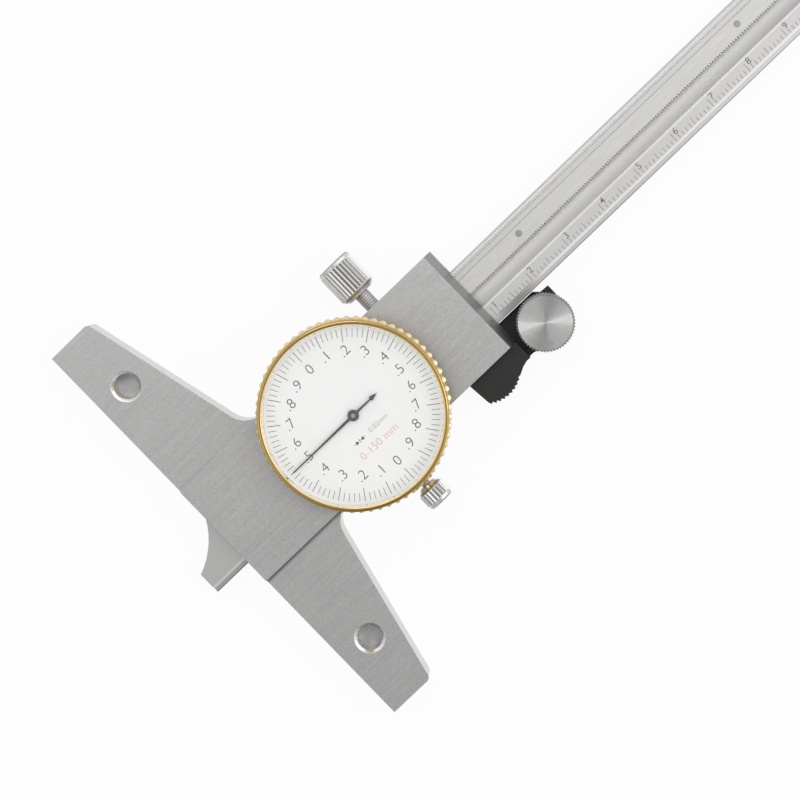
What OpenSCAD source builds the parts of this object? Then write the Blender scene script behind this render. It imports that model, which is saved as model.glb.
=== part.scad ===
// Dial depth gauge, 0 to 150 mm, one division 0.02 mm, one turn of the pointer 2 mm.
// The measuring face of the base is the plane Y = 0 and faces -Y, the beam runs along Y,
// and the gauge lies on its back, the plane Z = 0. The pose drawn reads 9.5 mm.

/* [Base] */
// Length of the measuring base
base_len = 100; // [96:1:104]
// Height of the base at its ends
base_end_h = 10.4; // [9:0.2:11]
// Height of the base where it meets the body
base_root_h = 18; // [17:0.2:19]
// Thickness of the base
base_t = 7.5; // [7:0.1:8]
// Distance between the two blind holes in the base
base_hole_gap = 71; // [68:0.5:74]
// Radius of the two blind holes
base_hole_r = 2.55; // [2.2:0.05:2.8]
// Depth of the two blind holes
base_hole_depth = 5; // [3:0.5:6]

/* [Body] */
// Width of the body across the beam
body_w = 25.08; // [25:0.02:25.4]
// Length of the body along the beam
body_len = 70; // [70:0.1:70.4]
// Thickness of the body
body_t = 8.5; // [8.4:0.1:8.5]
// Length of the sloping edge at the body's far end
body_slope = 1.5; // [1:0.1:2]
// Thickness of the back cover
cover_t = 1; // [0.8:0.1:1]

/* [Beam] */
// Width of the beam
beam_w = 14.2; // [14.1:0.05:14.2]
// Thickness of the beam
beam_t = 3.5; // [3.4:0.05:3.5]
// Length of the beam
beam_len = 230; // [228:1:240]
// How far the beam's tip stands out of the measuring face, which is the reading
reading = 9.5; // [9.5:0.625:12]

/* [Dial] */
// Radius of the bezel's ring
bezel_r = 19.1; // [18.9:0.1:19.1]
// Radius of the bezel's knurled flange
flange_r = 19.7; // [19.6:0.05:19.9]
// Number of teeth on the bezel's knurled flange
flange_teeth = 64; // [50:1:90]
// Reach of the pointer from its axis
pointer_len = 16.6; // [15:0.1:17]

/* [Movement] */
// Module of the wheels and of the pinion on the pointer's arbor
wheel_module = 0.18; // [0.18:0.002:0.182]
// Teeth on each wheel
wheel_teeth = 75; // [75:1:75]
// Teeth on the pinion of the pointer's arbor
centre_teeth = 15; // [15:1:15]
// Pitch of the rack
rack_pitch = 0.625; // [0.62:0.005:0.625]
// Teeth on the pinion that runs on the rack
rack_pinion_teeth = 16; // [16:1:16]

/* [Knobs] */
// Radius of the lock screw's head
lock_head_r = 4.05; // [3.6:0.05:4.1]
// Length of the lock screw's head
lock_head_len = 8.4; // [7:0.1:9]
// Radius of the bezel clamp screw's head
clamp_head_r = 2.9; // [2.4:0.05:2.9]
// Radius of the thumb roller
roller_r = 6; // [5.6:0.05:6]
// Thickness of the thumb roller
roller_t = 6; // [4:0.1:7]

/* [Hidden] */
$fn = 96;
eps = 0.5;          // overshoot of a cut past the face it opens
slip = 0.05;        // sliding clearance of the beam and running clearance of a shaft

// Beam, and the channel it slides in
beam_x = 0.4;
beam_z = cover_t + slip;
beam_y1 = beam_len - reading;
gib_t = 1.25;
chan_x0 = beam_x - beam_w / 2 - 2 * slip - gib_t;
chan_x1 = beam_x + beam_w / 2 + slip;
chan_top = beam_z + beam_t + slip;
cover_w = 23.6;
cover_y0 = 3;
cover_y1 = 67;
cover_screw_x = 10.1;
cover_screw_y = [8, 63];
gib_screw_y = [28, 41, 59];
side_screw_z = 2.8;

// Dial, housing and bezel, all on one axis
dial_x = 0.35;
dial_y = 37;
floor_top = body_t + 0.9;
cup_r = 17.6;
cup_wall = 1.2;
cup_top = 14.25;
groove_z = 13.7;
groove_h = 0.4;
skirt_z = 10.4;
flange_z = 12.8;
flange_h = 1.8;
seat_z = 14.9;
dial_t = 0.3;
crystal_z = 16.2;
crystal_t = 0.8;
bezel_top = 17.8;
pocket_r = 18.15;
seat_r = pocket_r - slip;
rim_r = 17.8;

// Gear train: the rack turns the drive arbor, and both wheels mesh with the centre pinion
wheel_gap = wheel_module * (wheel_teeth + centre_teeth) / 2;
arbor_dx = 0.65;
train_angle = acos(arbor_dx / wheel_gap);
drive_pos = [dial_x + wheel_gap * cos(train_angle), dial_y + wheel_gap * sin(train_angle)];
takeup_pos = [dial_x - wheel_gap * cos(train_angle), dial_y - wheel_gap * sin(train_angle)];
rack_module = rack_pitch / PI;
rack_pinion_r = rack_module * rack_pinion_teeth / 2;
rack_line_x = drive_pos[0] - rack_pinion_r;
addendum = 0.8;     // tooth height above the pitch line, in modules
dedendum = 1.05;    // tooth depth below the pitch line, in modules
tooth_fill = 0.8;   // tooth's share of half the pitch, the rest is backlash
arbor_r = 0.6;
bush_r = 0.95;
plate_r = 12.4;
plate_t = 0.8;
plate_top = floor_top + plate_t;
wheel_z = 11.4;
wheel_t = 0.4;
bridge_z = 12.5;
bridge_t = 0.7;
pillar_x = 9;
pinion_pass_r = 1.95;
pointer_z = 15.6;
pointer_t = 0.2;

// Screws that hold the movement and the housing
housing_screw_r = 14.3;
housing_screw_a = [60, 120, 240, 300];
movement_screw_r = 10.8;
movement_screw_a = [45, 135, 225, 315];

// Lock screw, bezel clamp screw, grip and roller
lock_y = 54.15;
lock_z = 4.2;
lock_head_x = -16;
lock_neck_r = 1.55;
pad_r = 1.3;
clamp_z = 11;
clamp_stem_r = 0.9;
clamp_head_len = 4.5;
clamp_y = dial_y + 0.5;
roller_pos = [13.84, 77.05];
roller_z = 2.3;
grip_z = 0.6;
grip_plate_t = 1.5;
grip_t = 6;
grip_screw_y = [60, 66];
grip_arc = [12.5, 61.8];
grip_arc_r = 7;

module at_dial(z) { translate([dial_x, dial_y, z]) children(); }
module at_drive(z) { translate([drive_pos[0], drive_pos[1], z]) children(); }
module at_takeup(z) { translate([takeup_pos[0], takeup_pos[1], z]) children(); }
module round_dial(radius, angles, z) {
  for (a = angles) at_dial(z) rotate([0, 0, a]) translate([radius, 0, 0]) children();
}
module ring(r_out, r_in, h) {
  difference() {
    cylinder(r = r_out, h = h);
    translate([0, 0, -eps]) cylinder(r = r_in, h = h + 2 * eps);
  }
}
// A rod along +X from its start
module rod_x(r, len) { rotate([0, 90, 0]) cylinder(r = r, h = len); }

// Outline of a knurled disc with rounded teeth
function knurl(r, depth, teeth) = [
  for (i = [0 : teeth * 6 - 1])
    (r - depth * (0.5 - 0.5 * cos(i * 60))) * [cos(i * 60 / teeth), sin(i * 60 / teeth)]];
// Outline of a spur gear with one tooth on the +X axis: radius and share of the half tooth
function spur(teeth, m) = let (
    rp = m * teeth / 2,
    half = 90 / teeth * tooth_fill,
    flank = [[rp - dedendum * m, -1.5], [rp, -1], [rp + addendum * m, -0.45],
             [rp + addendum * m, 0.45], [rp, 1], [rp - dedendum * m, 1.5]])
  [for (k = [0 : teeth - 1]) for (f = flank)
    let (a = k * 360 / teeth + f[1] * half) f[0] * [cos(a), sin(a)]];
module gear(teeth, m, h, bore_r) {
  difference() {
    linear_extrude(h) polygon(spur(teeth, m));
    translate([0, 0, -eps]) cylinder(r = bore_r, h = h + 2 * eps);
  }
}

// Outline of the base: straight measuring edge, rounded ends, edges rising to the body
module base_outline() {
  half = base_len / 2;
  end_r = 1.2;
  neck_r = 5;
  neck_y = base_root_h + neck_r;
  polygon(concat(
    [[-half, 0], [half, 0]],
    [for (a = [0 : 15 : 75]) [half - end_r + end_r * cos(a), base_end_h - end_r + end_r * sin(a)]],
    [for (a = [260 : -16 : 180]) [body_w / 2 + neck_r + neck_r * cos(a), neck_y + neck_r * sin(a)]],
    [for (a = [0 : -16 : -80]) [-body_w / 2 - neck_r + neck_r * cos(a), neck_y + neck_r * sin(a)]],
    [for (a = [105 : 15 : 180]) [-half + end_r + end_r * cos(a), base_end_h - end_r + end_r * sin(a)]]));
}

module base_hole(x) {
  translate([x, 7, base_t - base_hole_depth]) cylinder(r = base_hole_r, h = base_hole_depth + eps);
  translate([x, 7, base_t - 0.6])
    cylinder(r1 = base_hole_r, r2 = base_hole_r + 0.6, h = 0.6);
}

module frame() {
  color("#b4b4b2") difference() {
    union() {
      linear_extrude(base_t) base_outline();
      translate([-body_w / 2, 0, 0]) rotate([90, 0, 90]) linear_extrude(body_w)
        polygon([[0, 0], [body_len, 0], [body_len, chan_top],
                 [body_len - body_slope, body_t], [0, body_t]]);
    }
    translate([chan_x0, -eps, cover_t])
      cube([chan_x1 - chan_x0, body_len + 2 * eps, chan_top - cover_t]);
    translate([-cover_w / 2, cover_y0, -eps])
      cube([cover_w, cover_y1 - cover_y0, cover_t + eps]);
    for (side = [-1, 1]) base_hole(side * base_hole_gap / 2);
    at_drive(chan_top - eps) cylinder(r = pinion_pass_r, h = body_t);
    for (x = [-cover_screw_x, cover_screw_x], y = cover_screw_y)
      translate([x, y, 0]) cylinder(r = 0.8, h = 3.8);
    for (y = gib_screw_y) translate([-body_w / 2 - eps, y, side_screw_z]) rod_x(1, 6);
    translate([-body_w / 2 - eps, lock_y, lock_z]) rod_x(lock_neck_r + 0.1, 6);
    round_dial(housing_screw_r, housing_screw_a, body_t - 3) cylinder(r = 0.8, h = 4);
    for (y = grip_screw_y) translate([body_w / 2 - 3.4, y, side_screw_z + 0.8]) rod_x(0.8, 4);
  }
}

module back_cover() {
  color("#9a9a98") difference() {
    translate([-cover_w / 2 + slip, cover_y0 + slip, 0])
      cube([cover_w - 2 * slip, cover_y1 - cover_y0 - 2 * slip, cover_t]);
    for (x = [-cover_screw_x, cover_screw_x], y = cover_screw_y) translate([x, y, 0]) {
      translate([0, 0, -eps]) cylinder(r = 0.85, h = 2 * cover_t);
      translate([0, 0, -0.01]) cylinder(r1 = 1.41, r2 = 0.85, h = 0.61);
    }
  }
}

module back_cover_screws() {
  color("#8c8c8a") for (x = [-cover_screw_x, cover_screw_x], y = cover_screw_y)
    translate([x, y, 0]) difference() {
      union() {
        cylinder(r1 = 1.4, r2 = 0.8, h = 0.6);
        cylinder(r = 0.8, h = 3.6);
      }
      translate([-1.5, -0.15, -eps]) cube([3, 0.3, eps + 0.3]);
    }
}

module gib_strip() {
  color("#c0a860") difference() {
    translate([chan_x0 + slip, cover_y0, cover_t + 0.15])
      cube([gib_t, cover_y1 - cover_y0, beam_t - 0.15]);
    translate([chan_x0 - eps, lock_y - pad_r - 0.2, lock_z - pad_r - 0.2])
      cube([gib_t + 2 * eps, 2 * pad_r + 0.4, 4]);
  }
}

module gib_screws() {
  color("#7a7a78") for (y = gib_screw_y)
    translate([-body_w / 2 + 0.2, y, side_screw_z]) difference() {
      rod_x(1, chan_x0 + slip + body_w / 2 - 0.2);
      translate([-eps, -1.2, -0.15]) cube([eps + 0.5, 2.4, 0.3]);
    }
}

module dial_housing() {
  lug_x = 18.6;
  lug_t = 1.1;
  color("#d8b24a") difference() {
    union() {
      at_dial(body_t) cylinder(r = cup_r, h = cup_top - body_t);
      translate([dial_x + cup_r - 1, clamp_y - 2.2, body_t])
        cube([lug_x + lug_t - cup_r + 1, 4.4, skirt_z - 0.2 - body_t]);
      translate([dial_x + lug_x, clamp_y - 2.2, body_t])
        cube([lug_t, 4.4, clamp_z + 1.5 - body_t]);
    }
    at_dial(floor_top) cylinder(r = cup_r - cup_wall, h = cup_top);
    at_dial(groove_z) ring(cup_r + 1, cup_r - 0.4, groove_h);
    at_drive(body_t - eps) cylinder(r = pinion_pass_r, h = 3);
    round_dial(housing_screw_r, housing_screw_a, body_t - eps) cylinder(r = 0.85, h = 3);
    round_dial(movement_screw_r, movement_screw_a, body_t + 0.2) cylinder(r = 0.6, h = 3);
    translate([dial_x + lug_x - eps, clamp_y, clamp_z]) rod_x(clamp_stem_r + 0.1, 3);
  }
}

module housing_screws() {
  color("#8c8c8a") round_dial(housing_screw_r, housing_screw_a, body_t - 2.8) difference() {
    union() {
      cylinder(r = 0.8, h = 3.8);
      translate([0, 0, floor_top - body_t + 2.8]) cylinder(r = 1.3, h = 0.7);
    }
    translate([-1.5, -0.15, 4.1]) cube([3, 0.3, 1]);
  }
}

module movement_plate() {
  color("#c9a550") difference() {
    at_dial(floor_top) cylinder(r = plate_r, h = plate_t);
    at_dial(floor_top - eps) cylinder(r = bush_r, h = 2);
    at_drive(floor_top - eps) cylinder(r = bush_r, h = 2);
    at_takeup(floor_top - eps) cylinder(r = bush_r, h = 2);
    round_dial(movement_screw_r, movement_screw_a, floor_top - eps) cylinder(r = 0.65, h = 2);
  }
}

module movement_screws() {
  color("#8c8c8a") round_dial(movement_screw_r, movement_screw_a, body_t + 0.3) difference() {
    union() {
      cylinder(r = 0.6, h = plate_top - body_t - 0.3);
      translate([0, 0, plate_top - body_t - 0.3]) cylinder(r = 1.1, h = 0.6);
    }
    translate([-1.5, -0.12, plate_top - body_t]) cube([3, 0.24, 1]);
  }
}

module bridge_pillars() {
  color("#c9a550") for (side = [-1, 1])
    at_dial(plate_top) translate([side * pillar_x, 0, 0]) difference() {
      cylinder(r = 1.3, h = bridge_z - plate_top);
      translate([0, 0, 0.6]) cylinder(r = 0.6, h = 3);
    }
}

// Cross-shaped bridge over the wheels: one arm holds the three arbors, the other two screws
module gear_bridge() {
  arm_w = 4;
  color("#d2ae58") difference() {
    at_dial(bridge_z) union() {
      rotate([0, 0, train_angle]) translate([-wheel_gap, -arm_w / 2, 0])
        cube([2 * wheel_gap, arm_w, bridge_t]);
      for (s = [-1, 1]) {
        rotate([0, 0, train_angle]) translate([s * wheel_gap, 0, 0])
          cylinder(r = arm_w / 2, h = bridge_t);
        translate([s * pillar_x, 0, 0]) cylinder(r = arm_w / 2, h = bridge_t);
      }
      translate([-pillar_x, -arm_w / 2, 0]) cube([2 * pillar_x, arm_w, bridge_t]);
    }
    at_dial(bridge_z - eps) cylinder(r = bush_r, h = 2);
    at_drive(bridge_z - eps) cylinder(r = bush_r, h = 2);
    at_takeup(bridge_z - eps) cylinder(r = bush_r, h = 2);
    for (s = [-1, 1]) at_dial(bridge_z - eps) translate([s * pillar_x, 0, 0])
      cylinder(r = 0.65, h = 2);
  }
}

module bridge_screws() {
  color("#8c8c8a") for (s = [-1, 1])
    at_dial(bridge_z - 1.2) translate([s * pillar_x, 0, 0]) difference() {
      union() {
        cylinder(r = 0.6, h = 1.2 + bridge_t);
        translate([0, 0, 1.2 + bridge_t]) cylinder(r = 1.1, h = 0.6);
      }
      translate([-1.5, -0.12, 1.5 + bridge_t]) cube([3, 0.24, 1]);
    }
}

module bush() { ring(bush_r, arbor_r + slip, bridge_t); }
module bearing_bushes() {
  color("#e0c070") for (z = [floor_top, bridge_z]) {
    at_dial(z) bush();
    at_drive(z) bush();
    at_takeup(z) bush();
  }
}

module hairspring_stud() {
  color("#c9a550") at_takeup(plate_top) rotate([0, 0, 200]) translate([5.6, 0, 0])
    cylinder(r = 0.5, h = 0.9);
}

// Split wire ring in the housing's groove, which keeps the bezel on
module bezel_retaining_ring() {
  color("#8c8c8a") at_dial(groove_z) difference() {
    ring(cup_r + 0.4, cup_r - 0.4, groove_h);
    translate([-30, -0.6, -eps]) cube([30, 1.2, 2]);
  }
}

// Thumb grip: a serrated block beside the body, and a thin plate that carries the roller
module grip_block_outline() {
  teeth = 10;
  step = 8;
  x0 = body_w / 2;
  polygon(concat(
    [[x0, 57.15]],
    [for (k = [0 : teeth - 1]) for (t = [[0, -0.45], [6, 0]])
      let (a = -40 + k * step + t[0], r = grip_arc_r + t[1]) grip_arc + r * [cos(a), sin(a)]],
    [[17.2, 67.7], [16.85, 68.9], [16.85, 70], [x0, 70]]));
}
module grip_plate_outline() {
  boss_r = 5;
  translate(roller_pos) circle(r = boss_r);
  polygon([[7.75, body_len], [7.75, 79.3], [8.9, 80.5], [9, 82.5], [roller_pos[0], 82.5],
           [roller_pos[0] + boss_r, roller_pos[1]], [17.4, 72.6], [16.85, 71],
           [16.85, 68.9], [body_w / 2, 68.9], [body_w / 2, body_len]]);
}
module thumb_grip() {
  head_x = 15.5;
  color("#2b2b2b") difference() {
    union() {
      translate([0, 0, grip_z]) linear_extrude(grip_t) grip_block_outline();
      translate([0, 0, grip_z]) linear_extrude(grip_plate_t) grip_plate_outline();
    }
    translate([roller_pos[0], roller_pos[1], -eps]) cylinder(r = 1.55, h = 4);
    for (y = grip_screw_y) translate([body_w / 2 - eps, y, side_screw_z + 0.8]) {
      rod_x(0.85, 8);
      translate([head_x - body_w / 2 + eps, 0, 0]) rod_x(1.6, 6);
    }
  }
}

module thumb_grip_screws() {
  color("#8c8c8a") for (y = grip_screw_y)
    translate([body_w / 2 - 3, y, side_screw_z + 0.8]) difference() {
      union() {
        rod_x(0.8, 15.5 - body_w / 2 + 3);
        translate([15.5 - body_w / 2 + 3, 0, 0]) rod_x(1.5, 1.2);
      }
      translate([16.3 - body_w / 2 + 3, -1.6, -0.15]) cube([1, 3.2, 0.3]);
    }
}

// Beam section, X from its middle and Z from its back: a low ledge runs along its right edge
module beam_section() {
  half = beam_w / 2;
  polygon([[-half, 0], [half, 0], [half, beam_t - 0.5], [6.05, beam_t - 0.35], [5.65, beam_t],
           [-5.65, beam_t], [-5.75, beam_t - 0.1], [-5.85, beam_t], [-half + 0.48, beam_t],
           [-half, beam_t - 0.3]]);
}
// Section of the rack's slot and of the shallow hollow beside it
module milled_section() {
  slot_x = -4.65;
  rack_edge = rack_line_x - dedendum * rack_module - beam_x;
  hollow_x = 2.45;
  polygon(concat(
    [[hollow_x + 0.35, beam_t + eps], [hollow_x + 0.35, beam_t], [hollow_x, beam_t - 0.3]],
    [for (t = [1 : -0.2 : 0])
      [rack_edge + (hollow_x - rack_edge) * t, beam_t - 2.05 + 0.3 * t * t]],
    [[rack_edge, 2], [slot_x, 2], [slot_x, beam_t + eps]]));
}

rivet_s = [35, 95, 155, 215];   // along the beam from its tip
plain_len = 28;                 // the beam is plain from its tip to here
rivet_x = -2.7;
stop_y = beam_y1 - 7.5;
stop_x = 1.2;
module beam() {
  color("#c8c8c6") difference() {
    translate([beam_x, beam_y1, beam_z]) rotate([90, 0, 0]) linear_extrude(beam_len)
      beam_section();
    translate([beam_x, beam_y1 + eps, beam_z]) rotate([90, 0, 0])
      linear_extrude(beam_len - plain_len + eps) milled_section();
    translate([-13.1, -reading - 5.7, 0]) cylinder(r = 16.6, h = 10);
    for (s = rivet_s) translate([rivet_x, s - reading, 0]) cylinder(r = 0.7, h = 10);
    translate([stop_x, stop_y, beam_z + 0.4]) cylinder(r = 0.9, h = 10);
    translate([stop_x, stop_y, beam_z + 1.4]) cylinder(r = 1.45, h = 10);
  }
}

// Rack: a strip with its teeth towards +X, in mesh with the pinion at rest
rack_z = beam_z + 2;
rack_t = 1.3;
function rack_outline() = let (
    n0 = -40, n1 = 260,
    tip = rack_line_x + addendum * rack_module,
    root = rack_line_x - dedendum * rack_module,
    slope = tan(20),
    half = rack_pitch / 4 * tooth_fill,
    half_root = half + dedendum * rack_module * slope,
    half_tip = half - addendum * rack_module * slope,
    back = beam_x - 4.65 + slip)
  concat(
    [[back, drive_pos[1] + n0 * rack_pitch]],
    [for (n = [n0 : n1]) for (c = [[root, -half_root], [tip, -half_tip], [tip, half_tip],
                                   [root, half_root]])
      [c[0], drive_pos[1] + (n + 0.5) * rack_pitch + c[1]]],
    [[back, drive_pos[1] + (n1 + 1) * rack_pitch]]);
module rack() {
  color("#bdbdbb") difference() {
    translate([0, 0, rack_z]) linear_extrude(rack_t) polygon(rack_outline());
    for (s = rivet_s) translate([rivet_x, s - reading, 0]) cylinder(r = 0.7, h = 10);
  }
}

module rack_rivets() {
  color("#a8a8a6") for (s = rivet_s) translate([rivet_x, s - reading, beam_z]) {
    cylinder(r = 0.7, h = rack_z + rack_t - beam_z);
  }
}

module stop_screw() {
  color("#8c8c8a") translate([stop_x, stop_y, beam_z + 0.4]) difference() {
    union() {
      cylinder(r = 0.9, h = 1);
      translate([0, 0, 1]) cylinder(r = 1.4, h = 2.9);
    }
    translate([-2, -0.2, 3.4]) cube([4, 0.4, 1]);
  }
}

module rack_pinion() {
  color("#b89850") at_drive(beam_z + 2.25) rotate([0, 0, 180])
    gear(rack_pinion_teeth, rack_module, 1.15, arbor_r);
}
module drive_arbor() {
  color("#a8a8a6") at_drive(beam_z + 2.25) cylinder(r = arbor_r, h = 9.7);
}
module drive_wheel() {
  color("#d8b24a") at_drive(wheel_z) rotate([0, 0, train_angle + 180])
    gear(wheel_teeth, wheel_module, wheel_t, arbor_r);
}

// Centre arbor with its pinion, the pointer and the hub that holds the pointer
module centre_pinion() {
  pinion_z = 10.9;
  color("#a8a8a6") {
    at_dial(floor_top + 0.1) {
      cylinder(r = arbor_r, h = pointer_z - 0.3 - floor_top - 0.1);
      cylinder(r = 0.42, h = pointer_z + 0.55 - floor_top - 0.1);
    }
    at_dial(pinion_z) rotate([0, 0, train_angle + 180 / centre_teeth])
      linear_extrude(1.4) polygon(spur(centre_teeth, wheel_module));
  }
}

module pointer() {
  tail = 6.55;
  spear = 2;
  color("#202020") at_dial(pointer_z) difference() {
    union() {
      cylinder(r = 1.15, h = pointer_t);
      linear_extrude(pointer_t) polygon([[-0.28, 0], [-0.28, -1], [-0.12, -pointer_len],
        [0.12, -pointer_len], [0.28, -1], [0.28, 0], [0.17, tail - spear], [0.5, tail - spear + 0.35],
        [0, tail], [-0.5, tail - spear + 0.35], [-0.17, tail - spear]]);
    }
    translate([0, 0, -eps]) cylinder(r = 0.65, h = 2);
  }
}

module pointer_hub() {
  color("#202020") at_dial(pointer_z - 0.25) difference() {
    union() {
      cylinder(r = 0.65, h = 0.25 + pointer_t);
      translate([0, 0, 0.25 + pointer_t]) cylinder(r1 = 1, r2 = 0.8, h = 0.25);
    }
    translate([0, 0, -eps]) cylinder(r = 0.42, h = 2);
  }
}

module takeup_arbor() {
  color("#a8a8a6") at_takeup(floor_top + 0.1) cylinder(r = arbor_r, h = 3.7);
}
module takeup_wheel() {
  color("#d8b24a") at_takeup(wheel_z) rotate([0, 0, train_angle + 180 / wheel_teeth])
    gear(wheel_teeth, wheel_module, wheel_t, arbor_r);
}

// Spiral spring on its collet
module hairspring() {
  turns = 5;
  step = 15;
  r0 = 0.85;
  pitch = 0.72;
  wire = 0.16;
  color("#6f7f96") at_takeup(10.55) {
    difference() {
      union() {
        cylinder(r = 1, h = 0.4);
        linear_extrude(0.4) polygon(concat(
          [for (a = [0 : step : turns * 360]) (r0 + pitch * a / 360) * [cos(a), sin(a)]],
          [for (a = [turns * 360 : -step : 0])
            (r0 + pitch * a / 360 + wire) * [cos(a), sin(a)]]));
      }
      translate([0, 0, -eps]) cylinder(r = arbor_r, h = 2);
    }
  }
}

module bezel() {
  color("#d8a83a") difference() {
    union() {
      at_dial(0) rotate_extrude() polygon(concat(
        [[cup_r + 0.15, skirt_z], [cup_r + 0.7, skirt_z], [cup_r + 0.7, flange_z],
         [bezel_r, flange_z]],
        [for (a = [0 : 15 : 90]) [bezel_r - 0.45 + 0.45 * cos(a), bezel_top - 0.45 + 0.45 * sin(a)]],
        [[rim_r + 0.4, bezel_top], [rim_r, crystal_z + crystal_t + 0.1],
         [rim_r, crystal_z + crystal_t], [pocket_r, crystal_z + crystal_t], [pocket_r, seat_z],
         [17, seat_z], [17, seat_z - 0.5], [cup_r + 0.6, seat_z - 0.5],
         [cup_r + 0.6, seat_z - 1.3], [cup_r + 0.15, seat_z - 1.3]]));
      at_dial(flange_z) difference() {
        linear_extrude(flange_h) polygon(knurl(flange_r, 0.45, flange_teeth));
        translate([0, 0, -eps]) cylinder(r = bezel_r - 0.3, h = 2 * flange_h);
      }
    }
  }
}

module crystal() {
  color("#e8f0f4", 0.35) at_dial(crystal_z) cylinder(r = seat_r, h = crystal_t);
}
module dial_face() {
  color("#f4f4f2") at_dial(seat_z) ring(seat_r, 1.1, dial_t);
}
module crystal_gasket() {
  color("#f0f0ee") at_dial(seat_z + dial_t)
    ring(seat_r, rim_r + 0.05, crystal_z - seat_z - dial_t);
}

// Brass shoe that the lock screw pushes against the beam's edge
module lock_pad() {
  pad_x0 = -8.9;
  pad_x1 = beam_x - beam_w / 2 - 0.15;
  color("#c9a550") difference() {
    translate([pad_x0, lock_y, lock_z]) rod_x(pad_r, pad_x1 - pad_x0);
    translate([pad_x0 + 0.6, lock_y - 2, chan_top - 0.15]) cube([4, 4, 3]);
  }
}

// Knurled head along +X from its free end: plain rims, ridges and a chamfered inner end
module knurled_head(r, len, teeth, depth) {
  rotate([90, 0, 90]) {
    rotate_extrude() polygon([
      [0, 0], [r - 0.5, 0], [r - 0.15, 0.35], [r - 0.15, 1], [r - 0.8, 1], [r - 0.8, len - 1.2],
      [r - 0.15, len - 1.2], [r - 0.15, len - 1.1], [r - 1, len], [0, len]]);
    translate([0, 0, 0.9]) linear_extrude(len - 2) polygon(knurl(r, depth, teeth));
  }
}
module lock_screw() {
  color("#c2c2c0") {
    translate([lock_head_x - lock_head_len, lock_y, lock_z])
      knurled_head(lock_head_r, lock_head_len, 28, 0.4);
    translate([lock_head_x, lock_y, lock_z]) rod_x(lock_neck_r, -8.95 - lock_head_x);
  }
}

module clamp_pad() {
  color("#c9a550") translate([dial_x + 18.42, clamp_y, clamp_z]) rod_x(clamp_stem_r, 0.55);
}
module bezel_clamp_screw() {
  head_x = dial_x + 20.3;
  color("#c2c2c0") {
    translate([head_x + clamp_head_len, clamp_y, clamp_z]) rotate([0, 0, 180])
      knurled_head(clamp_head_r, clamp_head_len, 20, 0.35);
    translate([dial_x + 19, clamp_y, clamp_z]) rod_x(clamp_stem_r, head_x - dial_x - 19);
  }
}

// Roller with its own shaft, which runs in the grip and is held by a clip below
module thumb_roller() {
  color("#cfcfcd") translate([roller_pos[0], roller_pos[1], 0]) {
    translate([0, 0, roller_z]) difference() {
      linear_extrude(roller_t) polygon(knurl(roller_r, 0.3, 56));
      translate([0, 0, roller_t - 0.12]) cylinder(r = 0.3, h = 1);
    }
    translate([0, 0, 0.5]) cylinder(r = 1.5, h = roller_z - 0.5);
    translate([0, 0, 0.2]) cylinder(r = 1.1, h = 0.3);
  }
}
module roller_clip() {
  color("#8c8c8a") translate([roller_pos[0], roller_pos[1], 0.2]) difference() {
    ring(2.5, 1.1, 0.3);
    translate([0, -0.6, -eps]) cube([4, 1.2, 2]);
  }
}

frame();
back_cover();
back_cover_screws();
gib_strip();
gib_screws();
dial_housing();
housing_screws();
movement_plate();
movement_screws();
bridge_pillars();
gear_bridge();
bridge_screws();
bearing_bushes();
hairspring_stud();
bezel_retaining_ring();
thumb_grip();
thumb_grip_screws();
beam();
rack();
rack_rivets();
stop_screw();
rack_pinion();
drive_arbor();
drive_wheel();
centre_pinion();
pointer();
pointer_hub();
takeup_arbor();
takeup_wheel();
hairspring();
bezel();
crystal();
dial_face();
crystal_gasket();
lock_pad();
lock_screw();
clamp_pad();
bezel_clamp_screw();
thumb_roller();
roller_clip();
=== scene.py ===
"""Looks of the dial depth gauge: ground steel, gold-coloured bezel, printed dial and etched scale."""

import math

import bmesh
import bpy
from mathutils import Matrix, Vector


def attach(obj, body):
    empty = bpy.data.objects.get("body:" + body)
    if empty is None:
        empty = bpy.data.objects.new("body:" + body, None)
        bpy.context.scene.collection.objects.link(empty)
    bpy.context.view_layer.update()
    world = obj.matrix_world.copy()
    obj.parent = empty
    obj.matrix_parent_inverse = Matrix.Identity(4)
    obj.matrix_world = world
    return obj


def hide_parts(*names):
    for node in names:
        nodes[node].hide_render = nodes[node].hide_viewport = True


MM = 0.001
DIAL = (0.35, 37.0)        # dial axis, in millimetres
ROLLER = (13.84, 77.05)    # thumb roller's axis
HOLE = (35.5, 7.0)         # a base hole's axis, on either side of the middle
LOCK_AXIS = (54.15, 4.2)   # Y and Z of the lock screw's axis, which lies along X
CLAMP_AXIS = (37.5, 11.0)  # the same for the bezel's clamp screw
DIAL_TOP = 15.2            # printed face of the dial
BEAM_TOP = 4.55            # etched face of the beam
READING = 9.5              # what the gauge reads in the photograph
SCALE_EDGE = 70.5          # where the beam's scale has that reading, half a millimetre past the block
PRINT = 0.02               # thickness of printed and etched marks
WAVE = 6                   # points in one tooth, ridge or turned groove
THREAD_TONE = 12.566       # radians a millimetre: rings of tone 0.5 mm apart

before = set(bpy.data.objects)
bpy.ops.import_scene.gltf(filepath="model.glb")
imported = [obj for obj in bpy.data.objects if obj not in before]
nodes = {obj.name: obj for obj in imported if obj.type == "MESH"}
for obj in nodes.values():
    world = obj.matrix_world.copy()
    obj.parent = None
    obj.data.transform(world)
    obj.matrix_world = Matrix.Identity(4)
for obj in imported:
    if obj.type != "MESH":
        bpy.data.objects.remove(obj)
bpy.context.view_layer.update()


# Shader maths

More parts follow.
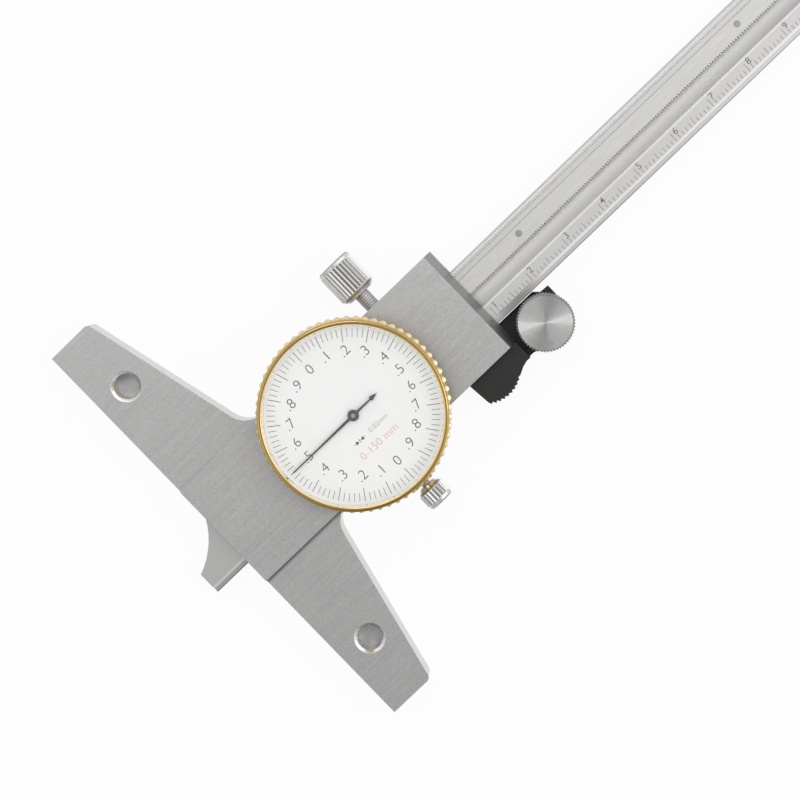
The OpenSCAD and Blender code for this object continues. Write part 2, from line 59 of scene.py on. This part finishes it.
class Value:
    """A shader socket on which Python sums can be written."""

    def __init__(self, tree, socket):
        self.tree = tree
        self.socket = socket

    def maths(self, operation, *numbers):
        return self.tree.node("ShaderNodeMath", {"operation": operation}, dict(enumerate(numbers)))

    def __add__(self, other):
        return self.maths("ADD", self, other)

    def __radd__(self, other):
        return self.maths("ADD", other, self)

    def __sub__(self, other):
        return self.maths("SUBTRACT", self, other)

    def __rsub__(self, other):
        return self.maths("SUBTRACT", other, self)

    def __mul__(self, other):
        return self.maths("MULTIPLY", self, other)

    def __rmul__(self, other):
        return self.maths("MULTIPLY", other, self)

    def __truediv__(self, other):
        return self.maths("DIVIDE", self, other)

    def __pow__(self, other):
        return self.maths("POWER", self, other)

    def sine(self):
        return self.maths("SINE", self)

    def between(self, low, high):
        """0 below low, 1 above high and a smooth rise from one to the other."""
        return self.tree.node(
            "ShaderNodeMapRange", {"interpolation_type": "SMOOTHSTEP"},
            {"Value": self, "From Min": low, "From Max": high, "To Min": 0.0, "To Max": 1.0})


class Shading:
    """A node tree, with the one method that adds nodes to it."""

    def __init__(self, tree):
        self.tree = tree
        self.tree.nodes.clear()

    def node(self, kind, settings=None, values=None, output=0):
        made = self.tree.nodes.new(kind)
        for key, value in (settings or {}).items():
            setattr(made, key, value)
        for key, value in (values or {}).items():
            if isinstance(value, Value):
                self.tree.links.new(value.socket, made.inputs[key])
            else:
                made.inputs[key].default_value = value
        return Value(self, made.outputs[output]) if made.outputs else None

    def blend(self, first, second, share):
        """A colour between two colours."""
        return self.node("ShaderNodeMix", {"data_type": "RGBA"}, {0: share, 6: first, 7: second}, 2)


class Finish(Shading):
    """A material whose patterns lie on Object coordinates, in millimetres."""

    def __init__(self, name, **numbers):
        self.material = bpy.data.materials.new(name)
        self.material.use_nodes = True
        super().__init__(self.material.node_tree)
        self.shader = self.tree.nodes.new("ShaderNodeBsdfPrincipled")
        end = self.tree.nodes.new("ShaderNodeOutputMaterial")
        self.tree.links.new(self.shader.outputs[0], end.inputs[0])
        for key, value in numbers.items():
            socket = key.replace("_", " ").title().replace("Ior", "IOR")
            self.shader.inputs[socket].default_value = value
        self.place = self.node("ShaderNodeVectorMath", {"operation": "SCALE"},
                               {0: self.node("ShaderNodeTexCoord", output="Object"), "Scale": 1000.0})

    def feed(self, name, value):
        if isinstance(value, Value):
            self.tree.links.new(value.socket, self.shader.inputs[name])
        else:
            self.shader.inputs[name].default_value = value

    def grain(self, size, detail=2.0, shift=0.0):
        """Noise from 0 to 1 whose blotches have that size in millimetres along X, Y and Z."""
        at = self.node("ShaderNodeVectorMath", {"operation": "MULTIPLY_ADD"},
                       {0: self.place, 1: tuple(1 / s for s in size), 2: (shift, shift, shift)})
        return self.node("ShaderNodeTexNoise", None, {"Vector": at, "Scale": 1.0, "Detail": detail})

    def axis(self, name):
        return self.node("ShaderNodeSeparateXYZ", None, {0: self.place}, name)

    def relief(self, height, depth):
        """Bump of that depth in millimetres."""
        self.feed("Normal", self.node("ShaderNodeBump", None,
                                      {"Strength": 1.0, "Distance": depth * MM, "Height": height}))


def grey(level, warm=0.0):
    return (level * (1 + warm), level, level * (1 - 1.4 * warm), 1.0)


def ground_steel(name, level, fine, long, roughness, depth, streak=0.5, warm=0.004, painted_light=None):
    """Steel ground in straight strokes along Y. The last argument gives the share of the tone left at a
    place, as painted shade and painted highlights.
    """
    steel = Finish(name, metallic=1.0)
    strokes = steel.grain((fine, long, fine), 3.0)
    scratches = steel.grain((fine * 2.4, long * 2.6, fine * 2.4), 2.0, 7.3)
    clouds = steel.grain((9.0, 16.0, 9.0), 2.0, 3.1)
    speckle = steel.grain((0.28, 0.4, 0.28), 2.0, 11.0)
    tone = strokes * 0.3 + scratches * 0.15 + clouds * 0.1 + speckle * 0.45
    colour = steel.blend(grey(level * (1 - streak), warm), grey(level * (1 + streak), warm), tone)
    # When given, painted shade and painted highlights scale the tone.
    steel.feed("Base Color", steel.blend(grey(0.0), colour, painted_light(steel)) if painted_light else colour)
    steel.feed("Roughness", roughness - 0.06 + 0.12 * strokes)
    steel.relief(strokes * 0.6 + scratches * 0.4, depth)
    return steel.material


def beam_wear(steel):
    """Painted light across the beam: painted shade darkens the groove and the edges, and two bright
    lines are painted highlights.
    """
    x, milled = steel.axis("X"), steel.axis("Y").between(18.0, 18.8)
    sunk = (1 - steel.axis("Z").between(BEAM_TOP - 0.35, BEAM_TOP - 0.05)) * milled
    groove = x.between(0.0, 2.6) * (1 - x.between(2.82, 2.92)) * sunk
    edge = x.between(2.82, 2.92) * (1 - x.between(3.3, 3.42)) * milled
    line = x.between(5.95, 6.1) * (1 - x.between(6.5, 6.62))
    # Painted shade in the groove and at the edges, painted highlights on the two bright lines.
    level = 0.675 * (0.8 + 0.2 * x.between(-5.85, -5.6)) * (1 - 0.42 * groove)
    level = level + 0.17 * edge + 0.32 * line
    return level * (0.88 + 0.12 * milled - 0.04 * x.between(6.6, 6.75) - 0.42 * x.between(7.2, 7.35))


def frame_wear(steel):
    """A painted shadow: the dark line where the block rises from the base, on one side only."""
    x, y = steel.axis("X"), steel.axis("Y")
    return 1 - 0.55 * x.between(12.5, 12.62) * (1 - x.between(12.8, 13.5)) * (1 - y.between(23.0, 27.0))


def turned_steel(name, level, roughness, warm=0.006):
    """Small turned or rolled steel parts, with fine tool marks and a slightly uneven tone."""
    steel = Finish(name, metallic=1.0)
    marks = steel.grain((0.35, 0.35, 0.35), 3.0)
    clouds = steel.grain((1.6, 1.6, 1.6), 2.0, 5.0)
    tone = marks * 0.6 + clouds * 0.4
    steel.feed("Base Color", steel.blend(grey(level * 0.86, warm), grey(level * 1.08, warm), tone))
    steel.feed("Roughness", roughness + 0.1 * clouds)
    steel.relief(marks, 0.0015)
    return steel.material


def knurled_steel(name, level, axis, head, valley):
    """Bright knurled knob turned about an axis along X: painted shade between its ridges, and darker on
    its neck, where rings of tone stand for the thread. head is its radius, valley its knurl's depth."""
    steel = Finish(name, metallic=1.0)
    across, up = steel.axis("Y") - axis[0], steel.axis("Z") - axis[1]
    radius = (across * across + up * up) ** 0.5
    marks = steel.grain((0.5, 0.16, 0.16), 2.0)
    ridges = radius.between(head - valley, head - 0.04)
    valleys = (1 - ridges) * radius.between(head - 2 * valley, head - valley)
    neck = 1 - radius.between(0.5 * head, 0.62 * head)
    threads = (steel.axis("X") * THREAD_TONE).sine()
    unshaded_knurl = steel.blend(grey(level * 0.88, 0.006), grey(level * 1.08, 0.006), marks)
    # Painted shade in the knurl's valleys.
    knurl = steel.blend(unshaded_knurl, grey(0.16, 0.04), valleys * 0.75)
    dark = neck * (0.4 + 0.35 * marks + 0.25 * threads)
    steel.feed("Base Color", steel.blend(knurl, grey(0.2, 0.03), dark))
    steel.feed("Roughness", 0.2 + 0.1 * marks + 0.15 * valleys + 0.3 * neck)
    steel.relief(marks, 0.002)
    return steel.material


def bezel_gold():
    """Gold-coloured plating with bands by radius: painted shade on the outer shoulder, painted
    highlights on the teeth and on the inner lip.
    """
    gold = Finish("bezel_gold", metallic=1.0)
    across, along = gold.axis("X") - DIAL[0], gold.axis("Y") - DIAL[1]
    radius = (across * across + along * along) ** 0.5
    marks = gold.grain((0.5, 0.5, 0.5), 3.0)
    plating = gold.blend((0.66, 0.45, 0.15, 1.0), (0.58, 0.39, 0.12, 1.0), marks)
    # Painted shade on the outer shoulder, painted highlights on the teeth and the inner lip.
    shoulder = gold.blend(plating, (0.43, 0.29, 0.10, 1.0), radius.between(18.6, 18.8))
    toothed = gold.blend(shoulder, (0.70, 0.55, 0.32, 1.0), radius.between(18.98, 19.14))
    lip = gold.blend((0.95, 0.86, 0.68, 1.0), toothed, radius.between(18.05, 18.35))
    gold.feed("Base Color", lip)
    gold.feed("Roughness", 0.12 + 0.08 * marks + 0.2 * radius.between(19.0, 19.3))
    gold.relief(marks, 0.0004)
    return gold.material


def brass_finish(name, pale, deep, roughness, depth):
    brass = Finish(name, metallic=1.0)
    marks = brass.grain((0.5, 0.5, 0.5), 3.0)
    brass.feed("Base Color", brass.blend(deep, pale, marks))
    brass.feed("Roughness", roughness + 0.08 * marks)
    brass.relief(marks, depth)
    return brass.material


def ink(name, colour, thin):
    """Printed or etched marks, a little uneven in strength."""
    made = Finish(name, roughness=0.55)
    patches = made.grain((0.18, 0.18, 0.18), 2.0)
    made.feed("Base Color", made.blend(colour, thin, patches.between(0.45, 0.95)))
    made.feed("Roughness", 0.45 + 0.25 * patches)
    return made.material


def dial_lacquer():
    white = Finish("dial_lacquer", specular_ior_level=0.35)
    paper = white.grain((0.6, 0.6, 0.6), 3.0)
    wash = white.grain((14.0, 14.0, 14.0), 1.0, 2.0)
    tone = paper * 0.4 + wash * 0.6
    white.feed("Base Color", white.blend((0.91, 0.91, 0.9, 1.0), (0.955, 0.955, 0.95, 1.0), tone))
    white.feed("Roughness", 0.42 + 0.1 * paper)
    white.relief(paper, 0.0008)
    return white.material


def black_finish(name, level, roughness, depth, cell):
    black = Finish(name, specular_ior_level=0.33)
    skin = black.grain((cell, cell, cell), 3.0)
    patches = black.grain((3.0, 3.0, 3.0), 2.0, 9.0)
    tone = skin * 0.5 + patches * 0.5
    black.feed("Base Color", black.blend(grey(level * 0.75, 0.02), grey(level * 1.5, 0.03), tone))
    black.feed("Roughness", roughness + 0.18 * skin)
    black.relief(skin, depth)
    return black.material


def glass():
    clear = Finish("dial_glass", roughness=0.03, specular_ior_level=0.5, coat_weight=0.0)
    film = clear.grain((6.0, 6.0, 6.0), 2.0)
    clear.feed("Base Color", (0.96, 0.98, 0.98, 1.0))
    clear.feed("Alpha", 0.035 + 0.02 * film)
    clear.material.surface_render_method = "BLENDED"
    return clear.material


# The ground steel carries a painted shadow beside the block; the beam's steel carries painted shade and
# highlights.
GROUND = ground_steel("ground_steel", 0.49, 0.16, 11.0, 0.42, 0.0035, painted_light=frame_wear)
# A brighter copy of the ground steel for the far sides: painted sheen.
SHEEN_SIDE = ground_steel("side_steel_painted_sheen", 0.7, 0.16, 11.0, 0.42, 0.0035, 0.25)
SLOPE = ground_steel("milled_slope_steel", 0.33, 0.5, 0.35, 0.5, 0.006, 0.25)
BEAM = ground_steel("beam_satin_steel", 0.9, 0.12, 16.0, 0.42, 0.002, 0.11, 0.008, beam_wear)
RACK = ground_steel("rack_steel", 0.6, 0.3, 5.0, 0.45, 0.003, 0.2, 0.006)
COVER = ground_steel("cover_steel", 0.42, 0.2, 8.0, 0.42, 0.003)
SCREW = turned_steel("screw_steel", 0.42, 0.3)
LOCK_KNOB = knurled_steel("lock_knob_steel", 0.76, LOCK_AXIS, 4.05, 0.4)
CLAMP_KNOB = knurled_steel("clamp_knob_steel", 0.8, CLAMP_AXIS, 2.9, 0.35)
CHAMFER = turned_steel("chamfer_steel", 0.8, 0.2)
TURNED = turned_steel("face_turned_steel", 0.41, 0.2)
BLUED = turned_steel("blued_spring_steel", 0.3, 0.25, -0.2)
BEZEL_GOLD = bezel_gold()
GOLD = brass_finish("gold_plating", (0.92, 0.66, 0.25, 1.0), (0.84, 0.56, 0.16, 1.0), 0.1, 0.0004)
BRASS = brass_finish("turned_brass", (0.76, 0.58, 0.28, 1.0), (0.62, 0.46, 0.2, 1.0), 0.26, 0.0015)
WHITE = dial_lacquer()
BLACK_INK = ink("dial_ink", grey(0.035), grey(0.09))
GREY_INK = ink("caption_ink", grey(0.22), grey(0.34))
RED_INK = ink("red_ink", (0.76, 0.36, 0.34, 1.0), (0.85, 0.55, 0.52, 1.0))
ETCH = ink("etched_marks", (0.16, 0.16, 0.157, 1.0), (0.4, 0.4, 0.395, 1.0))
LACQUER = black_finish("pointer_lacquer", 0.02, 0.3, 0.0006, 0.4)
PLASTIC = black_finish("grip_plastic", 0.016, 0.42, 0.004, 0.3)
GLASS = glass()


# Mesh making

def object_of(bm, name, material, body, smooth=35.0):
    """Turns a bmesh into a piece that rides on a body. Edges sharper than smooth degrees stay sharp."""
    for face in bm.faces:
        face.smooth = True
    for edge in bm.edges:
        edge.smooth = len(edge.link_faces) == 2 and edge.calc_face_angle(0.0) < math.radians(smooth)
    mesh = bpy.data.meshes.new(name)
    bm.to_mesh(mesh)
    bm.free()
    mesh.materials.append(material)
    made = bpy.data.objects.new(name, mesh)
    bpy.context.scene.collection.objects.link(made)
    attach(made, body)
    return made


def merged_copy(node):
    """A bmesh of a CAD node, its triangles joined into whole flat faces."""
    bm = bmesh.new()
    bm.from_mesh(nodes[node].data)
    bmesh.ops.remove_doubles(bm, verts=bm.verts, dist=2e-6)
    bmesh.ops.dissolve_limit(bm, angle_limit=math.radians(0.5), verts=bm.verts, edges=bm.edges)
    return bm


def dressed(node, material, body, round_edge, angle=32.0, segments=2):
    """Stands for a CAD node: the same shape with its sharp edges broken."""
    made = object_of(merged_copy(node), "dressed_" + node, material, body)
    edge = made.modifiers.new("broken_edges", "BEVEL")
    edge.width = round_edge * MM
    edge.segments = segments
    edge.limit_method = "ANGLE"
    edge.angle_limit = math.radians(angle)
    edge.harden_normals = True
    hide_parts(node)
    return made


def turned(outline, centre, steps=160, closed=True):
    """A bmesh turned about an upright axis from its outline of radius and height in millimetres."""
    bm = bmesh.new()
    points = [bm.verts.new(Vector((centre[0] + r, centre[1], z)) * MM) for r, z in outline]
    lines = [bm.edges.new(pair) for pair in zip(points, points[1:])]
    if closed:
        lines.append(bm.edges.new((points[-1], points[0])))
    bmesh.ops.spin(bm, geom=points + lines, cent=Vector((centre[0], centre[1], 0)) * MM,
                   axis=(0, 0, 1), angle=2 * math.pi, steps=steps, use_merge=True)
    bmesh.ops.remove_doubles(bm, verts=bm.verts, dist=1e-7)
    bmesh.ops.recalc_face_normals(bm, faces=bm.faces)
    return bm


def add_bar(bm, centre, size, angle=0.0):
    """Adds a flat bar: its middle and size in millimetres, turned about Z."""
    place = (Matrix.Translation(Vector(centre) * MM) @ Matrix.Rotation(angle, 4, "Z")
             @ Matrix.Diagonal((size[0] * MM, size[1] * MM, size[2] * MM, 1.0)))
    bmesh.ops.create_cube(bm, size=1.0, matrix=place)


def toothed_circle(bm, centre, radius, height, count, depth):
    """Adds a circle of edges that dips by depth in each of its count gaps, all in millimetres."""
    circle = bmesh.ops.create_circle(bm, segments=count * WAVE, radius=radius * MM)["verts"]
    for vert in circle:
        turn = math.atan2(vert.co.y, vert.co.x)
        vert.co *= 1 - depth / radius * (0.5 - 0.5 * math.cos(count * turn))
        vert.co += Vector((centre[0], centre[1], height)) * MM
    return list(dict.fromkeys(edge for vert in circle for edge in vert.link_edges))


def raised(bm, edges, centre, rise, inward=0.0, radius=None):
    """Extrudes a ring of edges up by rise and in by inward, or onto a circle of that radius."""
    made = bmesh.ops.extrude_edge_only(bm, edges=edges)["geom"]
    axis = Vector((centre[0], centre[1], 0)) * MM
    for vert in (part for part in made if isinstance(part, bmesh.types.BMVert)):
        flat = Vector((vert.co.x, vert.co.y, 0)) - axis
        reach = radius * MM if radius else flat.length - inward * MM
        vert.co.x, vert.co.y = (axis + flat.normalized() * reach)[:2]
        vert.co.z += rise * MM
    return [part for part in made if isinstance(part, bmesh.types.BMEdge)]


def word_mesh(text, boldness):
    """The flat mesh of a word in the font's own units, where its curve puts it."""
    curve = bpy.data.curves.new("word", "FONT")
    curve.body = text
    curve.extrude = 0.004
    curve.offset = boldness
    curve.resolution_u = 4
    holder = bpy.data.objects.new("word", curve)
    bpy.context.scene.collection.objects.link(holder)
    bpy.context.view_layer.update()
    mesh = bpy.data.meshes.new_from_object(holder.evaluated_get(bpy.context.evaluated_depsgraph_get()))
    bpy.data.objects.remove(holder)
    bpy.data.curves.remove(curve)
    return mesh


def middle_of(mesh):
    """The middle of a mesh in X and Y, and its height along Y."""
    xs = [v.co.x for v in mesh.vertices]
    ys = [v.co.y for v in mesh.vertices]
    return (min(xs) + max(xs)) / 2, (min(ys) + max(ys)) / 2, max(ys) - min(ys)


DIGIT_HEIGHT = middle_of(word_mesh("8", 0.0))[2]


def add_word(bm, text, centre, height, boldness=0.0, anchor=None):
    """Adds a word that reads along +Y. anchor is the part of the text whose middle lies at centre."""
    mesh = word_mesh(text, boldness)
    x, y, _ = middle_of(mesh)
    if anchor:
        digit = word_mesh(anchor, boldness)
        ends = [max(v.co.x for v in m.vertices) for m in (mesh, digit)]
        x = ends[0] - ends[1] + middle_of(digit)[0]
        y = middle_of(digit)[1]
    size = height / DIGIT_HEIGHT * MM
    mesh.transform(Matrix.Translation(Vector(centre) * MM) @ Matrix.Rotation(math.radians(90), 4, "Z")
                   @ Matrix.Diagonal((size, size, size, 1.0)) @ Matrix.Translation((-x, -y, 0.0)))
    bm.from_mesh(mesh)


# Steel parts

def frame_piece():
    """The base and body block: coarser milled slope, brighter hole chamfers, and far sides in a
    brighter copy of the ground steel as painted sheen.
    """
    made = dressed("frame", GROUND, "body", 0.14)
    for material in (SLOPE, CHAMFER, SHEEN_SIDE):
        made.data.materials.append(material)
    slope, chamfer, side = 1, 2, 3
    for face in made.data.polygons:
        middle, normal = face.center / MM, face.normal
        from_hole = math.hypot(abs(middle.x) - HOLE[0], middle.y - HOLE[1])
        if 0.75 < normal.y < 0.97 and 0.2 < normal.z < 0.6:
            face.material_index = slope
        elif 0.3 < normal.z < 0.95 and from_hole < 3.5:
            face.material_index = chamfer
        # Faces towards +Y on the wings take the brighter steel: painted sheen.
        elif normal.y > 0.3 and abs(normal.z) < 0.3 and abs(middle.x) > 13.0:
            face.material_index = side


def roller_piece():
    """The thumb roller: face-turned top with fine grooves, knurled edge, shaft below."""
    radius, low, high, ridges, ridge_depth = 6.0, 2.3, 8.3, 56, 0.3
    face_radius, grooves, groove_depth = 5.5, 34, 0.035
    shaft = [(0.0, 0.2), (1.1, 0.2), (1.1, 0.5), (1.5, 0.5), (1.5, low), (0.0, low)]
    bm = turned(shaft, ROLLER, 48, False)
    rim = toothed_circle(bm, ROLLER, radius, low + 0.25, ridges, ridge_depth)
    bmesh.ops.contextual_create(bm, geom=raised(bm, rim, ROLLER, -0.25, 0.35))
    side = raised(bm, rim, ROLLER, high - low - 0.37)
    bevel = raised(bm, side, ROLLER, 0.12, 0.12)
    raised(bm, bevel, ROLLER, 0.0, radius=face_radius)
    outline = [(face_radius + 0.02, high - 0.02)]
    for k in range(grooves * WAVE, -1, -1):
        dip = 0.5 - 0.5 * math.cos(2 * math.pi * k / WAVE)
        outline.append((face_radius * k / (grooves * WAVE), high - groove_depth * dip))
    outline[-1] = (0.0, high - 0.05)
    face = turned(outline, ROLLER, 96, False)
    face_mesh = bpy.data.meshes.new("roller_face")
    face.to_mesh(face_mesh)
    face.free()
    bm.from_mesh(face_mesh)
    bmesh.ops.recalc_face_normals(bm, faces=bm.faces)
    made = object_of(bm, "roller_turned", TURNED, "roller", 50)
    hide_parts("thumb_roller")


frame_piece()
dressed("beam", BEAM, "beam", 0.03, 40, 1)
dressed("rack", RACK, "beam", 0.02, 40, 1)
dressed("lock_screw", LOCK_KNOB, "lock_knob", 0.04, 40, 1)
dressed("bezel_clamp_screw", CLAMP_KNOB, "clamp_knob", 0.04, 40, 1)
dressed("thumb_grip", PLASTIC, "body", 0.16)
roller_piece()


# Bezel, dial and pointer

def bezel_piece():
    """The gold-coloured ring: polished rounded top, sloping inner lip, toothed flange."""
    flange_radius, flange_low, teeth, tooth_depth = 19.7, 12.8, 64, 0.45
    bm = turned([
        (17.75, 10.4), (18.3, 10.4), (18.3, 12.85), (18.95, 12.85), (19.1, 13.0), (19.1, 17.3),
        (19.07, 17.5), (18.99, 17.66), (18.86, 17.76), (18.7, 17.8), (18.3, 17.8), (18.21, 17.76),
        (18.15, 17.66), (17.82, 17.12), (17.8, 17.0), (18.15, 17.0), (18.15, 14.9), (17.0, 14.9),
        (17.0, 14.4), (18.2, 14.4), (18.2, 13.6), (17.75, 13.6)], DIAL, 224)
    rim = toothed_circle(bm, DIAL, flange_radius, flange_low, teeth, tooth_depth)
    side = raised(bm, rim, DIAL, 1.5)
    raised(bm, side, DIAL, 0.3, radius=19.0)
    raised(bm, rim, DIAL, 0.0, radius=18.7)
    bmesh.ops.recalc_face_normals(bm, faces=bm.faces)
    made = object_of(bm, "bezel_gold_ring", BEZEL_GOLD, "bezel", 50)
    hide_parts("bezel")


def on_dial(reach, angle, aside=(0.0, 0.0)):
    """A place on the dial's face, at a distance and an angle from its axis."""
    return (DIAL[0] + aside[0] + reach * math.cos(angle),
            DIAL[1] + aside[1] + reach * math.sin(angle), DIAL_TOP)


def dial_ticks():
    """A hundred divisions, every fifth one longer and heavier."""
    outer = 17.3
    bm = bmesh.new()
    for k in range(100):
        angle = math.radians(180 - k * 3.6)
        inner, width = (14.65, 0.13) if k % 5 == 0 else (15.6, 0.1)
        add_bar(bm, on_dial((outer + inner) / 2, angle), (outer - inner, width, PRINT), angle)
    object_of(bm, "dial_ticks", BLACK_INK, "bezel")


def dial_numerals():
    """Two rounds of 0 and .1 to .9. The digit without its point is centred on its place, a little
    aside as the photograph shows it."""
    reach, height, boldness = 12.55, 2.12, -0.014
    bm = bmesh.new()
    for k in range(20):
        digit = str(k % 10)
        text = digit if digit == "0" else "." + digit
        aside = (-0.33, 0.55) if k % 10 and k < 16 else (-0.08, 0.08)
        add_word(bm, text, on_dial(reach, math.radians(180 - k * 18), aside), height, boldness, digit)
    object_of(bm, "dial_numerals", BLACK_INK, "bezel")


def dial_captions():
    """The unit, the range in red, and two arrows that point at the short bar between them."""
    unit = bmesh.new()
    add_word(unit, "0.02mm", (4.75, 39.5, DIAL_TOP), 1.05, -0.014)
    object_of(unit, "dial_unit_caption", GREY_INK, "bezel")
    reach = bmesh.new()
    add_word(reach, "0-150 mm", (7.6, 37.05, DIAL_TOP), 1.65, -0.015)
    object_of(reach, "dial_range_caption", RED_INK, "bezel")
    arrows = bmesh.new()
    x, y, size = 4.92, 34.43, 0.5
    for side in (-1, 1):
        tip = y + side * 0.3
        add_bar(arrows, (x, tip + side * 0.95, DIAL_TOP), (0.1, 0.5, PRINT))
        head = bmesh.ops.create_cone(arrows, cap_ends=True, segments=3, radius1=size * MM,
                                     radius2=size * MM, depth=PRINT * MM)["verts"]
        turn = Matrix.Rotation(math.radians(90 + side * 90), 3, "Z")
        bmesh.ops.rotate(arrows, verts=head, cent=(0, 0, 0), matrix=turn)
        bmesh.ops.translate(arrows, verts=head, vec=Vector((x, tip + side * 0.42, DIAL_TOP)) * MM)
    add_bar(arrows, (x, y, DIAL_TOP), (0.9, 0.12, PRINT))
    object_of(arrows, "dial_arrows", BLACK_INK, "bezel")


bezel_piece()
dial_ticks()
dial_numerals()
dial_captions()
dressed("pointer", LACQUER, "needle", 0.03, 40, 1)
dressed("pointer_hub", LACQUER, "needle", 0.04, 30, 2)


# Etched scale of the beam

def scale_place(millimetres):
    """Where the scale has that value, along the beam at the rest pose."""
    return SCALE_EDGE + millimetres - READING


def scale_marks():
    """A mark for each millimetre, longer at every fifth and longest at every tenth."""
    outer_end, width = 6.0, 0.11
    bm = bmesh.new()
    for mark in range(151):
        reach = 2.0 if mark % 10 == 0 else 1.5 if mark % 5 == 0 else 1.0
        add_bar(bm, (outer_end - reach / 2, scale_place(mark), BEAM_TOP), (reach, width, PRINT))
    object_of(bm, "scale_marks", ETCH, "beam")


def scale_numerals():
    """The tens, numbered in centimetres, each just past its mark."""
    bm = bmesh.new()
    for number in range(1, 16):
        past = 1.08 if number < 10 else 1.6
        add_word(bm, str(number), (4.13, scale_place(10 * number) + past, BEAM_TOP), 1.4, 0.002)
    object_of(bm, "scale_numerals", ETCH, "beam")


scale_marks()
scale_numerals()


# Finishes of the CAD nodes that stay

KEPT = {
    "back_cover": COVER, "back_cover_screws": SCREW, "gib_strip": BRASS, "gib_screws": SCREW,
    "dial_housing": GOLD, "housing_screws": SCREW, "movement_plate": BRASS, "movement_screws": SCREW,
    "bridge_pillars": BRASS, "gear_bridge": BRASS, "bridge_screws": SCREW, "bearing_bushes": BRASS,
    "hairspring_stud": BRASS, "bezel_retaining_ring": SCREW, "thumb_grip_screws": SCREW,
    "rack_rivets": SCREW, "stop_screw": SCREW, "rack_pinion": BRASS, "drive_arbor": SCREW,
    "drive_wheel": BRASS, "centre_pinion": SCREW, "takeup_arbor": SCREW, "takeup_wheel": BRASS,
    "hairspring": BLUED, "crystal": GLASS, "dial_face": WHITE, "crystal_gasket": WHITE,
    "lock_pad": BRASS, "clamp_pad": BRASS, "roller_clip": SCREW,
}
for name, material in KEPT.items():
    mesh = nodes[name].data
    mesh.materials.clear()
    mesh.materials.append(material)


# Floor, light and camera

def floor():
    """A white floor that keeps the gauge's soft shadow and shows white to the camera and in metal."""
    bm = bmesh.new()
    bmesh.ops.create_grid(bm, x_segments=1, y_segments=1, size=1.5)
    mesh = bpy.data.meshes.new("floor")
    bm.to_mesh(mesh)
    bm.free()
    made = bpy.data.objects.new("floor", mesh)
    made.location = (0, 0.1, -0.00015)
    bpy.context.scene.collection.objects.link(made)
    paper = bpy.data.materials.new("floor_paper")
    paper.use_nodes = True
    nodes_of = Shading(paper.node_tree)
    seen = (nodes_of.node("ShaderNodeLightPath", output="Is Camera Ray")
            + nodes_of.node("ShaderNodeLightPath", output="Is Glossy Ray")
            + nodes_of.node("ShaderNodeLightPath", output="Is Transmission Ray"))
    shade = nodes_of.node("ShaderNodeBsdfDiffuse", None, {"Color": grey(0.9)})
    light = nodes_of.node("ShaderNodeEmission", None, {"Color": grey(1.0), "Strength": 1.0})
    both = nodes_of.node("ShaderNodeMixShader", None, {0: seen * 0.92, 1: shade, 2: light})
    nodes_of.node("ShaderNodeOutputMaterial", None, {"Surface": both})
    made.data.materials.append(paper)


def sky():
    """Plain light from all round. In the metal it is dim right overhead, brightest along +Y, and
    two bright quarters lie across from each other, as beside two long soft lamps."""
    world = bpy.data.worlds.new("studio")
    bpy.context.scene.world = world
    world.use_nodes = True
    nodes_of = Shading(world.node_tree)
    way = nodes_of.node("ShaderNodeTexCoord", output="Generated")
    across, along, up = (nodes_of.node("ShaderNodeSeparateXYZ", None, {0: way}, name) for name in "XYZ")
    glossy = nodes_of.node("ShaderNodeLightPath", output="Is Glossy Ray")
    camera = (nodes_of.node("ShaderNodeLightPath", output="Is Camera Ray")
              + nodes_of.node("ShaderNodeLightPath", output="Is Transmission Ray"))
    dome = 1.0 - 0.6 * up.between(0.93, 0.985)
    lean = 1.0 + 0.45 * along - 0.2 * across
    tilt = across * across + along * along
    turn = (1.92 * across * along + 0.28 * (along * along - across * across)) / (tilt + 0.002)
    in_metal = dome * lean + 0.55 * up * turn * tilt.between(0.005, 0.12)
    strength = camera + glossy * in_metal + (1 - camera) * (1 - glossy) * 0.8
    light = {"Color": grey(1.0), "Strength": strength}
    background = nodes_of.node("ShaderNodeBackground", None, light)
    nodes_of.node("ShaderNodeOutputWorld", None, {"Surface": background})


def lamp(name, azimuth, elevation, distance, size, brightness):
    """A soft square lamp aimed at the gauge, by its direction and the brightness of its face."""
    data = bpy.data.lights.new(name, "AREA")
    data.shape = "RECTANGLE"
    data.size, data.size_y = size
    data.energy = brightness * math.pi * size[0] * size[1]
    made = bpy.data.objects.new(name, data)
    bpy.context.scene.collection.objects.link(made)
    a, e = math.radians(azimuth), math.radians(elevation)
    aim = Vector((0.0, 0.06, 0.0))
    away = Vector((math.cos(a) * math.cos(e), math.sin(a) * math.cos(e), math.sin(e)))
    made.location = aim + away * distance
    made.rotation_euler = away.to_track_quat("Z", "Y").to_euler()


def camera():
    """The photograph's camera, fitted to points that can be told in it."""
    data = bpy.data.cameras.new("camera")
    data.sensor_width = 36.0
    data.lens = 104.05
    data.clip_start = 0.02
    data.clip_end = 20.0
    made = bpy.data.objects.new("camera", data)
    bpy.context.scene.collection.objects.link(made)
    turn = (Matrix.Rotation(-0.0852466, 4, "X") @ Matrix.Rotation(-0.0325198, 4, "Y")
            @ Matrix.Rotation(0.8034655, 4, "Z"))
    made.matrix_world = Matrix.Translation(Vector((-10.3286, 84.8008, 471.5042)) * MM) @ turn
    bpy.context.scene.camera = made


floor()
sky()
lamp("key", 160, 68, 0.8, (0.25, 0.25), 3.4)
lamp("side", 52, 45, 1.0, (0.28, 0.5), 2.4)
camera()
bpy.context.scene.view_settings.view_transform = "Standard"
